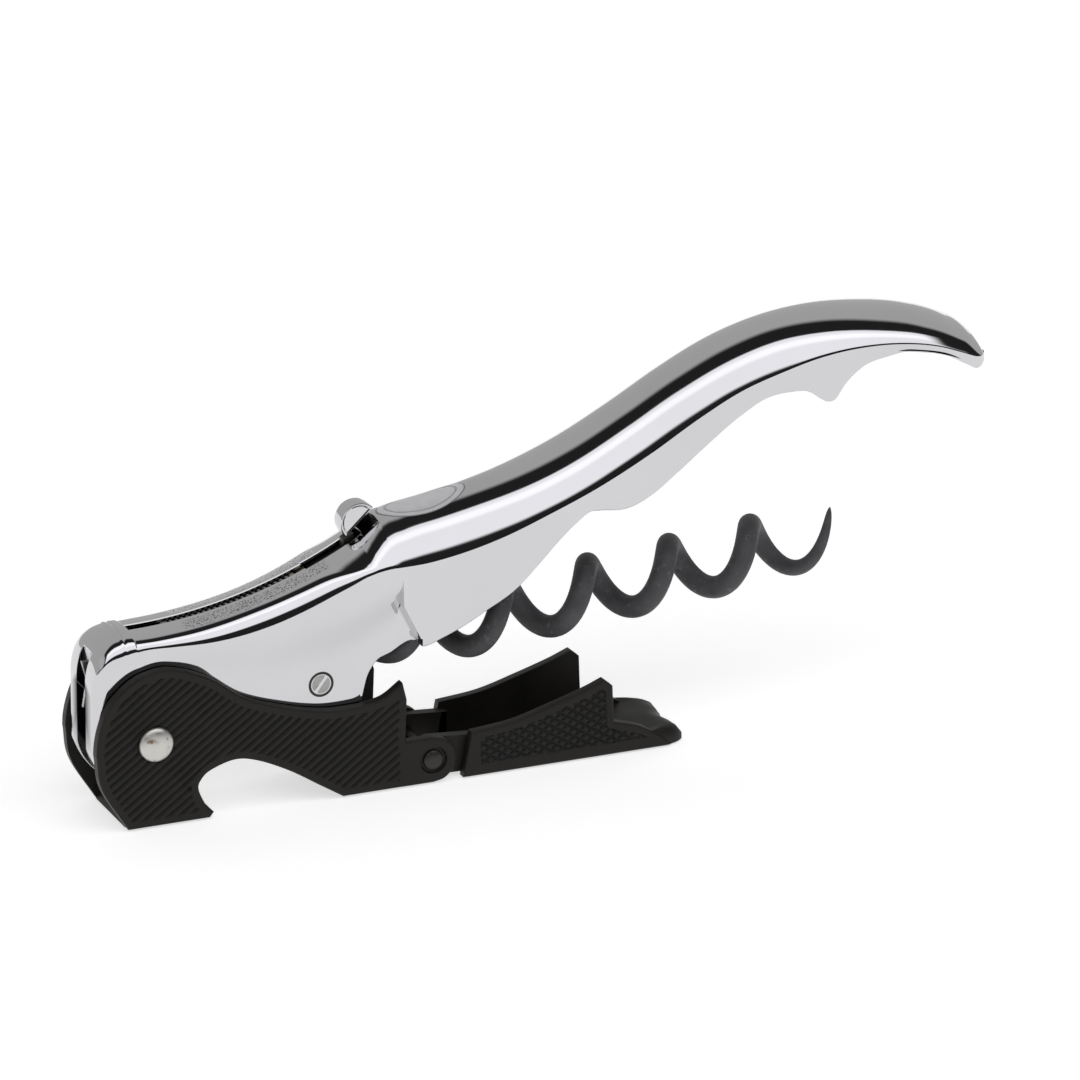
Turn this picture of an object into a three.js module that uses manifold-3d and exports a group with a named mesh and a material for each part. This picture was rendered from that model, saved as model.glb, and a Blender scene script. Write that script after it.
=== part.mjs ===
import * as THREE from 'three';
import { mergeVertices } from 'three/addons/utils/BufferGeometryUtils.js';
import Module from 'manifold-3d';

// Two-step lever corkscrew, millimetres. X runs along the ground from the head to the tail,
// Y across the width, Z up. The origin is on the ground, straight below the lever rivet.

// Driving dimensions
const rivetAt = { x: 0, z: 9.9 };
const hingeAt = { x: 33.3, z: 2.7 };
const wormPinAt = { x: 20.3, z: 13.4 };
const cheekHalf = 4.2;
const armInner = 4.4;
const armOuter = 5.6;
const handleHalf = 6.2;
const channelHalf = 4.5;
const webHigh = 1.2;
const runningGap = 0.08;

// The neck's top is an arc, and the knife slides on arcs around the same centre.
const track = { x: -1.5, z: 78.5, radius: 56.5 };

// The worm's own axis is a line in the plane y = 0. Its helix runs from startX to endX,
// is thinned to a point after tipX, and passes under its axis at lowestX.
const wormAxis = { x: 52, z: 17.75, slope: 0.0857, pitch: 10, radius: 3.0, wire: 1.3 };
const wormRun = { startX: 28.9, tipX: 75, endX: 84.1, lowestX: 59.1, growLong: 8.5 };

// Holes and shanks of the three pins
const rivetPin = { shank: 1.52, hole: 1.6, head: 2.05, headHigh: 0.75 };
const hingePin = { shank: 0.88, hole: 0.95, head: 1.2, headHigh: 0.45, sink: 1.55, sinkDeep: 0.35 };
const wormPinSize = { shank: 1.2, hole: 1.25, eye: 2.5, eyeHalf: 2.5 };
const knifeRivetSize = { shank: 0.47, hole: 0.5 };

// Cutting rods and slabs reach this far to each side, clear of every wall
const through = 9;

const black = { color: 0x23221f, roughness: 0.5, metalness: 0.6 };
const chrome = { color: 0xc9cbcd, roughness: 0.12, metalness: 1 };
const darkWorm = { color: 0x3b3c3e, roughness: 0.7, metalness: 0.3 };
const steel = { color: 0xb4b3ad, roughness: 0.3, metalness: 1 };
const darkSteel = { color: 0x2b2b2b, roughness: 0.4, metalness: 0.8 };
const springSteel = { color: 0x8e8f90, roughness: 0.3, metalness: 1 };
const brassTone = { color: 0xcdbf9a, roughness: 0.35, metalness: 0.8 };

const wasm = await Module();
wasm.setup();

// A closed three.js geometry as a solid that can be joined and cut
function solid(geometry) {
  const plain = geometry.clone();
  plain.deleteAttribute('normal');
  plain.deleteAttribute('uv');
  const merged = mergeVertices(plain, 1e-4);
  return new wasm.Manifold(new wasm.Mesh({
    numProp: 3,
    vertProperties: merged.attributes.position.array,
    triVerts: new Uint32Array(merged.index.array),
  }));
}

function geometryOf(body) {
  const mesh = body.getMesh();
  const geometry = new THREE.BufferGeometry();
  geometry.setAttribute('position', new THREE.Float32BufferAttribute(mesh.vertProperties, 3));
  geometry.setIndex(new THREE.Uint32BufferAttribute(mesh.triVerts, 1));
  geometry.computeVertexNormals();
  return geometry;
}

// An outline in the X-Z plane, carried across the width from yLow to yHigh
function slab(shape, yLow, yHigh, curveSegments = 5) {
  const depth = yHigh - yLow;
  const geometry = new THREE.ExtrudeGeometry(shape, { depth, bevelEnabled: false, curveSegments });
  geometry.rotateX(Math.PI / 2);
  geometry.translate(0, yHigh, 0);
  return solid(geometry);
}

// An outline in the X-Y plane, carried upwards from zLow to zHigh
function column(shape, zLow, zHigh, curveSegments = 5) {
  const depth = zHigh - zLow;
  const geometry = new THREE.ExtrudeGeometry(shape, { depth, bevelEnabled: false, curveSegments });
  geometry.translate(0, 0, zLow);
  return solid(geometry);
}

// A section carried along a curve in the X-Z plane: section x is the width, section y points up
function sweep(section, points, steps) {
  const path = new THREE.CatmullRomCurve3(points.map(([x, z]) => new THREE.Vector3(x, 0, z)));
  const turned = section.map(([across, up]) => new THREE.Vector2(-across, -up));
  const shape = new THREE.Shape(turned);
  return solid(new THREE.ExtrudeGeometry(shape, { extrudePath: path, steps, bevelEnabled: false }));
}

function rod(at, radius, yLow, yHigh, segments = 32) {
  const geometry = new THREE.CylinderGeometry(radius, radius, yHigh - yLow, segments);
  geometry.translate(at.x, (yLow + yHigh) / 2, at.z);
  return solid(geometry);
}

function polygon(points) {
  return new THREE.Shape(points.map(([x, z]) => new THREE.Vector2(x, z)));
}

function vectors(points) {
  return points.map(([x, z]) => new THREE.Vector2(x, z));
}

// A point of the knife track at the given place along X, at a depth below the neck's top
function onTrack(x, depth) {
  const radius = track.radius + depth;
  return [x, track.z - Math.sqrt(radius * radius - (x - track.x) ** 2)];
}

// A band between two depths of the knife track, from xLeft to xRight
function trackBand(xLeft, xRight, shallow, deep, pieces = 8) {
  const along = (depth) => Array.from({ length: pieces + 1 }, (_, i) => (
    onTrack(xLeft + ((xRight - xLeft) * i) / pieces, depth)));
  return polygon([...along(deep), ...along(shallow).reverse()]);
}

// A headed pin on a lathe: a straight shank with a domed head at each end
function headedPin(at, size, gripHalf) {
  const dome = 5;
  const profile = [[0, -gripHalf - size.headHigh]];
  for (let i = 1; i <= dome; i += 1) {
    const turn = (i / dome) * (Math.PI / 2);
    profile.push([size.head * Math.sin(turn), -gripHalf - size.headHigh * Math.cos(turn)]);
  }
  profile.push([size.shank, -gripHalf]);
  const mirrored = profile.map(([r, y]) => [r, -y]).reverse();
  const geometry = new THREE.LatheGeometry(vectors([...profile, ...mirrored]), 28);
  geometry.translate(at.x, 0, at.z);
  return solid(geometry);
}

// Head and cheeks: the lower part of the casting, between the lever's walls
function cheekOutline() {
  const headRadius = 7.2;
  const shape = new THREE.Shape();
  shape.moveTo(-7.2, 10.4);
  shape.lineTo(-7.1, 15);
  shape.splineThru(vectors([[-6.8, 17.8], [-5.9, 20], [-4.4, 21.3]]));
  shape.lineTo(-1.5, 21.6);
  shape.lineTo(8, 21.8);
  shape.lineTo(20, 24);
  shape.lineTo(30, 26.4);
  shape.lineTo(31.2, 17.1);
  shape.splineThru(vectors([[28.8, 16], [26.5, 14.6], [25.6, 12.8], [26, 10.4], [24.2, 8.7]]));
  shape.lineTo(20, 8.2);
  shape.splineThru(vectors([[12, 7.6], [8, 6.9], [5.6, 4.9]]));
  shape.absarc(rivetAt.x, rivetAt.z, headRadius, -0.72, -Math.PI, true);
  return shape;
}

// Neck and handle in side view, above the line where the closed lever lies
function shellOutline() {
  const shape = new THREE.Shape();
  shape.moveTo(-4.4, 20.6);
  shape.lineTo(-4.4, 40);
  shape.lineTo(60, 60);
  shape.lineTo(101.8, 55);
  shape.lineTo(101.8, 42.6);
  shape.lineTo(100.3, 40.1);
  shape.splineThru(vectors([[98.4, 41], [94.8, 42.7], [90.5, 43.5], [86.9, 43], [84, 41.3]]));
  shape.splineThru(vectors([[82.4, 39.4], [81.2, 38.8], [80, 39.4]]));
  shape.splineThru(vectors([[77.5, 40.6], [74, 40.5], [70.5, 38.8], [65.6, 35.3], [59.5, 30.8]]));
  shape.splineThru(vectors([[56.5, 29.6], [53.4, 29.8], [51.4, 29.5]]));
  shape.splineThru(vectors([[48.6, 27.3], [43.1, 22], [38, 18.8], [34, 17.3], [32, 16.8]]));
  shape.lineTo(29.4, 22);
  shape.splineThru(vectors([[24.6, 19.4], [18.4, 17.6], [13.8, 16.8], [9.2, 17.4], [4.8, 18.7]]));
  return shape;
}

// The casting seen from above: narrow at the head, full width along the handle
function planOutline() {
  const upper = [[-8, 4.2], [-1, 4.2], [6, 4.6], [14, 4.9], [20, 5.3], [24, 5.8], [28, 6.2]];
  const shape = new THREE.Shape();
  shape.moveTo(-8, -4.2);
  shape.splineThru(vectors(upper.slice(1).map(([x, y]) => [x, -y])));
  shape.lineTo(102, -handleHalf);
  shape.lineTo(102, handleHalf);
  shape.lineTo(28, handleHalf);
  shape.splineThru(vectors(upper.slice(0, -1).reverse()));
  return shape;
}

// Crest of the neck and handle, head to tail
const nosePoints = [[24, 27.2], [26.2, 29.3], [28.4, 31]];
const crestPoints = [
  ...nosePoints, [31, 31.6], [39, 33], [45.2, 34.6], [51.3, 36.8], [57.4, 39.8], [63.5, 43.2],
  [69.6, 46], [75.6, 47.7], [81.7, 48.3], [87.8, 47.9], [93.5, 46.8], [98, 45.1], [101.2, 42.9],
];

function handleSection() {
  const crownHigh = 4.4;
  const deep = 19;
  const radius = (handleHalf ** 2 + crownHigh ** 2) / (2 * crownHigh);
  const half = Math.asin(handleHalf / radius);
  const arc = [];
  for (let i = 0; i <= 12; i += 1) {
    const turn = half - (2 * half * i) / 12;
    arc.push([radius * Math.sin(turn), radius * Math.cos(turn) - radius]);
  }
  return [[-handleHalf, -deep], [handleHalf, -deep], ...arc];
}

function neckSection() {
  const shoulder = (side) => [[6.2, -2.6], [5.7, -1.5], [4.9, -0.6], [3.9, -0.05]].map(
    ([across, up]) => [side * across, up]);
  return [[-6.2, -12], [6.2, -12], ...shoulder(1), ...shoulder(-1).reverse()];
}

function wormChannel() {
  const ceiling = crestPoints.slice(3).map(([x, z]) => [x, z - 3.2]).filter(([x]) => x < 88);
  const shape = new THREE.Shape();
  shape.moveTo(31.6, 5);
  shape.lineTo(90, 5);
  shape.lineTo(90, 43.6);
  shape.splineThru(vectors(ceiling.reverse().slice(0, -1)));
  shape.lineTo(31.6, 27.6);
  return shape;
}

function bodyCasting() {
  const shell = slab(shellOutline(), -handleHalf - 1, handleHalf + 1, 4);
  const neckPath = [-7, 0, 6, 12, 18, 25].map((x) => onTrack(x, 0));
  const crowned = sweep(handleSection(), crestPoints, 44).add(sweep(neckSection(), neckPath, 14));
  const upper = shell.intersect(crowned).intersect(column(planOutline(), 0, 60, 3));
  let body = slab(cheekOutline(), -cheekHalf, cheekHalf).add(upper);
  const topTrim = trackBand(-10, 24, -12, 0, 12);
  body = body.subtract(slab(topTrim, -through, through));

  // Worm: wide channel under the handle, narrower between the cheeks
  body = body.subtract(slab(wormChannel(), -channelHalf, channelHalf, 3));
  body = body.subtract(slab(polygon([[26.6, 5], [31.7, 5], [31.7, 24], [26.6, 20.6]]), -3.65, 3.65));
  const root = polygon([[14.6, 5], [26.7, 5], [26.7, 19.2], [20, 17.4], [14.6, 16.4]]);
  body = body.subtract(slab(root, -2.8, 2.8));

  // Knife: gap between the cheeks at the front, blade slot, spring channel and top slots
  body = body.subtract(slab(polygon([[-9, 1], [-3, 1], [-3, 19.2], [-9, 19.2]]), -1.1, 1.1));
  body = body.subtract(slab(trackBand(-9, 28, 2.9, 7.4, 12), -0.75, 0.75));
  body = body.subtract(slab(trackBand(2.2, 27.4, 0.4, 3.1, 10), -1.35, 1.35));
  body = body.subtract(slab(trackBand(-1.3, 20, -1, 0.5, 8), -0.7, 0.7));
  body = body.subtract(slab(trackBand(19.8, 25.6, -2, 0.5, 4), -1.1, 1.1));
  const pocket = polygon([[24.9, 26.4], [28.6, 28.3], [28.6, 34], [24, 34]]);
  body = body.subtract(slab(pocket, -1.5, 1.5));

  // Holes for the rivet and the worm pin
  body = body.subtract(rod(rivetAt, rivetPin.hole, -through, through));
  body = body.subtract(rod(wormPinAt, wormPinSize.hole, -through, through));
  body = body.subtract(badgeCut());
  return body;
}

// The oval plate is let into the crown of the handle, square to its slope
const badgeAt = { x: 35.2, z: 32.05, tilt: -0.14, long: 4.9, wide: 2.6 };

function badgeDisc(grow, low, high) {
  const shape = new THREE.Shape();
  shape.absellipse(0, 0, badgeAt.long + grow, badgeAt.wide + grow, 0, Math.PI * 2);
  const depth = high - low;
  const geometry = new THREE.ExtrudeGeometry(shape, { depth, bevelEnabled: false, curveSegments: 32 });
  geometry.translate(0, 0, low);
  geometry.rotateY(badgeAt.tilt);
  geometry.translate(badgeAt.x, 0, badgeAt.z);
  return solid(geometry);
}

const badgeCut = () => badgeDisc(0.15, -0.9, 4);
const badgePlate = () => badgeDisc(0, -0.8, -0.1);

// First arm: two walls outside the head, joined by the opener hook and by a strip near the hinge
function firstArmOutline() {
  const shape = new THREE.Shape();
  shape.moveTo(-3.5, 0);
  shape.lineTo(-6.7, 5.2);
  shape.splineThru(vectors([[-7.4, 9.3], [-6.9, 12.6], [-5.5, 15.2], [-3.5, 17.1], [-1.1, 18.2],
    [1.6, 18.5], [5, 17.6], [7.5, 16], [9.9, 14.2], [12.3, 13], [16, 11.7], [19.6, 10.8],
    [23.3, 10.5], [26.9, 10.9], [29.6, 12.6]]));
  shape.lineTo(30.1, 10.5);
  shape.lineTo(29.9, 5.4);
  shape.lineTo(33.3, 5.4);
  shape.absarc(hingeAt.x, hingeAt.z, 2.7, Math.PI / 2, -Math.PI / 2, true);
  shape.lineTo(22.4, 0);
  shape.splineThru(vectors([[19.6, 1.8], [16, 4.1], [12.3, 5.9], [9.5, 6.5], [6.6, 5.7],
    [5.1, 3.6], [5.9, 1.7]]));
  shape.lineTo(6.9, 0.6);
  shape.lineTo(6.4, 0);
  return shape;
}

function firstArm() {
  const outline = firstArmOutline();
  let arm = slab(outline, -armOuter, -armInner).add(slab(outline, armInner, armOuter));
  const hook = polygon([[-3.5, 0], [6.4, 0], [6.9, 0.6], [6.3, webHigh], [-2, webHigh], [-3, 1]]);
  arm = arm.add(slab(hook, -armInner - 0.2, armInner + 0.2));
  const strip = polygon([[22.4, 0], [29.4, 0], [29.4, webHigh], [21, webHigh]]);
  arm = arm.add(slab(strip, -armInner - 0.2, armInner + 0.2));
  arm = arm.subtract(rod(rivetAt, rivetPin.hole, -through, through));
  arm = arm.subtract(rod(hingeAt, hingePin.hole, -through, through));
  const sinkAt = armOuter - hingePin.sinkDeep;
  [[-through, -sinkAt], [sinkAt, through]].forEach(([low, high]) => {
    arm = arm.subtract(rod(hingeAt, hingePin.sink, low, high));
  });
  return arm;
}

// Second arm: a channel with a tongue on each side that turns between the first arm's ears
function secondArmOutline() {
  const shape = new THREE.Shape();
  shape.moveTo(36.9, 0);
  shape.lineTo(37.9, 5.3);
  shape.splineThru(vectors([[43, 5.8], [47.6, 7], [51.6, 8.2], [54.1, 9.2], [55.1, 8.3]]));
  shape.lineTo(55.2, 3.9);
  shape.splineThru(vectors([[58.4, 2.9], [60.6, 1.6], [62.2, 0.4]]));
  shape.lineTo(62, 0);
  return shape;
}

function tongueOutline() {
  const shape = new THREE.Shape();
  shape.moveTo(hingeAt.x, hingeAt.z + 2.3);
  shape.lineTo(38.4, 4.6);
  shape.lineTo(38.4, 0.2);
  shape.lineTo(36.9, 0.2);
  shape.lineTo(hingeAt.x, hingeAt.z - 2.3);
  shape.absarc(hingeAt.x, hingeAt.z, 2.3, -Math.PI / 2, Math.PI / 2, true);
  return shape;
}

function footPlan() {
  const shape = new THREE.Shape();
  shape.moveTo(37.2, -armOuter + 0.1);
  shape.lineTo(62, -armOuter + 0.1);
  shape.splineThru(vectors([[63.9, -4.4], [64.2, -2.6], [63.7, 0], [64.2, 2.6], [63.9, 4.4],
    [62, armOuter - 0.1]]));
  shape.lineTo(37.2, armOuter - 0.1);
  return shape;
}

function secondArm() {
  const outline = secondArmOutline();
  let arm = slab(outline, -armOuter, -armInner).add(slab(outline, armInner, armOuter));
  arm = arm.add(column(footPlan(), 0, webHigh));
  const inset = armInner - 0.12;
  [-1, 1].forEach((side) => {
    const low = side < 0 ? -inset : inset - 1.2;
    arm = arm.add(slab(tongueOutline(), low, low + 1.2));
    const joggleLow = side < 0 ? -armInner - 0.1 : inset - 1.2;
    const joggle = polygon([[36.95, 0.2], [38.3, 0.2], [38.3, 4.6], [37.75, 4.6]]);
    arm = arm.add(slab(joggle, joggleLow, joggleLow + 1.3));
  });
  return arm.subtract(rod(hingeAt, hingePin.hole, -through, through));
}

// Worm: an eye on the pin, a straight shank, then a tapering helix that ends in a point
class WormCurve extends THREE.Curve {
  getPoint(t, target = new THREE.Vector3()) {
    const shankShare = 0.06;
    if (t < shankShare) {
      const along = t / shankShare;
      const end = WormCurve.helixPoint(0);
      return target.set(
        THREE.MathUtils.lerp(wormPinAt.x + 1.4, end.x, along),
        0,
        THREE.MathUtils.lerp(wormPinAt.z + 0.1, end.z, along),
      );
    }
    return target.copy(WormCurve.helixPoint((t - shankShare) / (1 - shankShare)));
  }

  static helixPoint(share) {
    const x = wormRun.startX + (wormRun.endX - wormRun.startX) * share;
    const turn = ((x - wormRun.lowestX) / wormAxis.pitch) * Math.PI * 2;
    const rise = Math.min(1, (x - wormRun.startX) / wormRun.growLong);
    const radius = wormAxis.radius * (0.4 + 0.6 * Math.sin((rise * Math.PI) / 2));
    const middle = wormAxis.z + (x - wormAxis.x) * wormAxis.slope;
    return new THREE.Vector3(x, -radius * Math.sin(turn), middle - radius * Math.cos(turn));
  }
}

function wormWire() {
  const section = new THREE.Shape();
  section.absarc(0, 0, wormAxis.wire, 0, Math.PI * 2);
  const path = new WormCurve();
  const options = { extrudePath: path, steps: 150, bevelEnabled: false, curveSegments: 5 };
  const geometry = new THREE.ExtrudeGeometry(section, options);
  const place = geometry.attributes.position;
  const { startX, tipX, endX } = wormRun;
  const vertex = new THREE.Vector3();
  for (let i = 0; i < place.count; i += 1) {
    vertex.fromBufferAttribute(place, i);
    if (vertex.x > tipX) {
      const x = Math.min(vertex.x, endX);
      const centre = WormCurve.helixPoint((x - startX) / (endX - startX));
      const thin = Math.max(0.12, Math.sqrt((endX - x) / (endX - tipX)));
      vertex.sub(centre).multiplyScalar(thin).add(centre);
      place.setXYZ(i, vertex.x, vertex.y, vertex.z);
    }
  }
  return solid(geometry);
}

function worm() {
  const eye = rod(wormPinAt, wormPinSize.eye, -wormPinSize.eyeHalf, wormPinSize.eyeHalf, 28);
  const bore = rod(wormPinAt, wormPinSize.shank + runningGap, -through, through);
  return wormWire().add(eye).subtract(bore);
}

const wormPin = () => rod(wormPinAt, wormPinSize.shank, -cheekHalf - 0.02, cheekHalf + 0.02, 28);

// Knife: blade in the lower slot, carrier behind it, thumb tab above the neck
function knifeBlade() {
  const tip = [-6.7, onTrack(-6.7, 3.4)[1]];
  const upper = [-4, 2, 8, 14, 20].map((x) => onTrack(x, 3.2));
  const lower = [20, 14, 8, 2, -2].map((x) => onTrack(x, 7));
  const shape = polygon([tip, ...upper, ...lower, [-5, 14.6], [-6.6, 13.4], [-6.1, 16.4]]);
  return slab(shape, -0.45, 0.05).subtract(knifeRivetHoles());
}

const knifeRivetPlaces = [16.4, 18.8].map((x) => {
  const [px, pz] = onTrack(x, 5.1);
  return { x: px, z: pz };
});

function knifeRivetHoles() {
  const [front, rear] = knifeRivetPlaces.map((at) => rod(at, knifeRivetSize.hole, -3, 3, 20));
  return front.add(rear);
}

function knifeCarrier() {
  const runner = slab(trackBand(15, 24, 3.2, 7.1), 0.1, 0.6);
  const heel = slab(trackBand(20.6, 26.4, 2.7, 6.8), -0.6, 0.55);
  const lug = slab(trackBand(20.6, 26.4, 0.75, 2.8, 4), -1.1, 1.1);
  const stem = slab(trackBand(24.5, 25.7, -0.4, 1, 2), -0.6, 0.6);
  return runner.add(heel).add(lug).add(stem).subtract(knifeRivetHoles());
}

const knifeRivet = (at) => rod(at, knifeRivetSize.shank, -0.62, 0.66, 20);

// The tab is half a disc whose flat side lies along the handle's nose
function thumbTab() {
  const radius = 2.3;
  const shape = new THREE.Shape();
  shape.moveTo(24.75, 28.75);
  shape.lineTo(25.65, 29.1);
  shape.absarc(26.25, 30.8, radius, -0.79 + Math.PI / 2, Math.PI + 0.5, false);
  shape.lineTo(24.3, 28.62);
  const stemHole = slab(trackBand(24.4, 25.8, -0.45, 1, 2), -0.7, 0.7);
  return slab(shape, -1.1, 1.1, 12).subtract(stemHole);
}

function springSeat() {
  return slab(trackBand(19.4, 20.3, 0.7, 2.8, 2), -1.1, 1.1);
}

// Return spring: lies along the track between the channel's front end and its seat
const coil = { turns: 15, radius: 0.78, wire: 0.2, frontX: 2.9, rearX: 18.85, depth: 1.75 };

class SpringCurve extends THREE.Curve {
  getPoint(t, target = new THREE.Vector3()) {
    const x = coil.frontX + (coil.rearX - coil.frontX) * t;
    const [, middle] = onTrack(x, coil.depth);
    const turn = coil.turns * Math.PI * 2 * t;
    return target.set(x, coil.radius * Math.cos(turn), middle + coil.radius * Math.sin(turn));
  }
}

function returnSpring() {
  const section = new THREE.Shape();
  section.absarc(0, 0, coil.wire, 0, Math.PI * 2);
  const options = { extrudePath: new SpringCurve(), steps: 150, bevelEnabled: false, curveSegments: 3 };
  return solid(new THREE.ExtrudeGeometry(section, options));
}

const corkscrew = new THREE.Group();

function piece(name, body, look) {
  const mesh = new THREE.Mesh(geometryOf(body), new THREE.MeshStandardMaterial(look));
  mesh.name = name;
  corkscrew.add(mesh);
}

piece('body_casting', bodyCasting(), chrome);
piece('badge_plate', badgePlate(), chrome);
piece('lever_rivet', headedPin(rivetAt, rivetPin, armOuter + 0.06), steel);
piece('first_arm', firstArm(), black);
piece('second_arm', secondArm(), black);
piece('second_arm_pin', headedPin(hingeAt, hingePin, armOuter - 0.3), darkSteel);
piece('worm', worm(), darkWorm);
piece('worm_pin', wormPin(), steel);
piece('knife_blade', knifeBlade(), steel);
piece('knife_carrier', knifeCarrier(), darkSteel);
piece('knife_rivet_front', knifeRivet(knifeRivetPlaces[0]), steel);
piece('knife_rivet_rear', knifeRivet(knifeRivetPlaces[1]), steel);
piece('thumb_tab', thumbTab(), chrome);
piece('spring_seat', springSeat(), brassTone);
piece('return_spring', returnSpring(), springSteel);

export default corkscrew;
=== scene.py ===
import math
import bmesh
import bpy
import numpy as np
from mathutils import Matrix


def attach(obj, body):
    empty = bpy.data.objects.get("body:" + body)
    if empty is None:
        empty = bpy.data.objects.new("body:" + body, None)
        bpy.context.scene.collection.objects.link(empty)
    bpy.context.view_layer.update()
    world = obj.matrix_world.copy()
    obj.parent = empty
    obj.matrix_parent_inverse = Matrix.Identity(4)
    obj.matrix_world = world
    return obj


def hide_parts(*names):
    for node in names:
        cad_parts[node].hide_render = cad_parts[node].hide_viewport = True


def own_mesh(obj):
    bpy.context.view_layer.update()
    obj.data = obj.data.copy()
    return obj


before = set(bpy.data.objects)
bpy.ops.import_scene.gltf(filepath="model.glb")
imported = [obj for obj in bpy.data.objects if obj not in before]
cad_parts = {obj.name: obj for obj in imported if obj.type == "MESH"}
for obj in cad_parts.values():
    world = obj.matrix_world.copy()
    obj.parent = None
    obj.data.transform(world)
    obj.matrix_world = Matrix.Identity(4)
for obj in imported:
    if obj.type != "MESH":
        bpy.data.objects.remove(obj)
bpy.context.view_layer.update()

mm = 0.001


# Small helpers for curves and grids

# A value through the keys (place, value): cubic pieces whose slope at a key is that of its two
# neighbours.
def smoothCurve(keys, places):
    keys = np.asarray(keys, float)
    at, value = keys[:, 0], keys[:, 1]
    slope = np.gradient(value, at)
    places = np.clip(np.asarray(places, float), at[0], at[-1])
    piece = np.clip(np.searchsorted(at, places) - 1, 0, len(at) - 2)
    wide = at[piece + 1] - at[piece]
    t = (places - at[piece]) / wide
    return ((2 * t**3 - 3 * t**2 + 1) * value[piece] + (t**3 - 2 * t**2 + t) * wide * slope[piece]
            + (3 * t**2 - 2 * t**3) * value[piece + 1] + (t**3 - t**2) * wide * slope[piece + 1])


# 0 below low, 1 above high, and 3t^2 - 2t^3 between them.
def smoothStep(low, high, value):
    t = np.clip((np.asarray(value, float) - low) / (high - low), 0, 1)
    return t * t * (3 - 2 * t)


# 1 inside a band and 0 outside: rises over the first pair of limits and falls over the second.
def smoothBand(riseFrom, riseTo, fallFrom, fallTo, value):
    return smoothStep(riseFrom, riseTo, value) * (1 - smoothStep(fallFrom, fallTo, value))


# Quads of a grid of points stored row by row, wrapped round where asked.
def gridFaces(rows, columns, closeRows=False, closeColumns=False, start=0):
    row = np.arange(rows if closeRows else rows - 1)
    column = np.arange(columns if closeColumns else columns - 1)
    r, c = np.meshgrid(row, column, indexing="ij")
    rNext, cNext = (r + 1) % rows, (c + 1) % columns
    corners = (r * columns + c, rNext * columns + c, rNext * columns + cNext, r * columns + cNext)
    return start + np.stack([corner.ravel() for corner in corners], axis=1)


# The two end polygons of a grid whose columns close round.
def endCaps(rows, columns):
    return [list(range(columns)), list(range((rows - 1) * columns, rows * columns))]


# Joins closed parts, each (points in mm, quads, extra polygons), into one welded mesh with outward faces.
def makePiece(name, parts, body, nodes, material, sharpAngle=35, attributes=None):
    points, faces, offset = [], [], 0
    for part in parts:
        place, quads, extra = part
        points.append(place)
        faces += (quads + offset).tolist()
        faces += [[index + offset for index in polygon] for polygon in extra]
        offset += len(place)
    points = np.concatenate(points) * mm
    mesh = bpy.data.meshes.new(name)
    mesh.from_pydata(points, [], faces)
    for key, values in (attributes or {}).items():
        layer = mesh.attributes.new(key, "FLOAT", "POINT")
        layer.data.foreach_set("value", np.asarray(values, np.float32))
    work = bmesh.new()
    work.from_mesh(mesh)
    bmesh.ops.remove_doubles(work, verts=work.verts, dist=2e-7)
    bmesh.ops.dissolve_degenerate(work, edges=work.edges, dist=1e-7)
    bmesh.ops.recalc_face_normals(work, faces=work.faces)
    work.to_mesh(mesh)
    work.free()
    mesh.shade_smooth()
    mesh.set_sharp_from_angle(angle=math.radians(sharpAngle))
    mesh.materials.append(material)
    piece = bpy.data.objects.new(name, mesh)
    bpy.context.scene.collection.objects.link(piece)
    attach(piece, body)
    if nodes:
        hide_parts(*nodes)
    print(name, len(mesh.vertices), "points", len(mesh.polygons), "faces")
    return piece


# A profile of (radius, distance along Y) turned round the Y axis at the centre; its two ends lie on the
# axis.
def lathePart(profile, turns, centre, along=1.0):
    profile = np.asarray(profile, float)
    turn = np.linspace(0, 2 * np.pi, turns, endpoint=False)
    x = centre[0] + profile[:, :1] * np.cos(turn)
    z = centre[1] + profile[:, :1] * np.sin(turn)
    y = np.repeat(profile[:, 1:] * along, turns, axis=1)
    points = np.stack([x, y, z], axis=-1).reshape(-1, 3)
    return points, gridFaces(len(profile), turns, closeColumns=True), []


# A round section carried along a path. Each ring lies across the path's direction, and the two ends close
# to points.
def tubePart(path, radii, sides):
    direction = np.gradient(path, axis=0)
    direction /= np.linalg.norm(direction, axis=1, keepdims=True)
    across = np.cross(direction, [0.0, 0.0, 1.0] if abs(direction[0, 2]) < 0.9 else [0.0, 1.0, 0.0])
    across /= np.linalg.norm(across, axis=1, keepdims=True)
    upward = np.cross(across, direction)
    turn = np.linspace(0, 2 * np.pi, sides, endpoint=False)[None, :, None]
    rings = path[:, None] + radii[:, None,
                                  None] * (np.cos(turn) * across[:, None] + np.sin(turn) * upward[:, None])
    rings = np.concatenate([np.repeat(path[:1, None], sides, axis=1), rings,
                            np.repeat(path[-1:, None], sides, axis=1)])
    return rings.reshape(-1, 3), gridFaces(len(rings), sides, closeColumns=True), []


# Materials

def newMaterial(name):
    material = bpy.data.materials.new(name)
    material.use_nodes = True
    nodes = material.node_tree.nodes
    return material, nodes, material.node_tree.links, nodes["Principled BSDF"]


def addNoise(nodes, links, scale, detail=4.0, stretch=(1, 1, 1)):
    place = nodes.new("ShaderNodeTexCoord")
    mapping = nodes.new("ShaderNodeMapping")
    mapping.inputs["Scale"].default_value = stretch
    noise = nodes.new("ShaderNodeTexNoise")
    noise.inputs["Scale"].default_value = scale
    noise.inputs["Detail"].default_value = detail
    links.new(place.outputs["Object"], mapping.inputs["Vector"])
    links.new(mapping.outputs["Vector"], noise.inputs["Vector"])
    return noise.outputs["Fac"]


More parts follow.
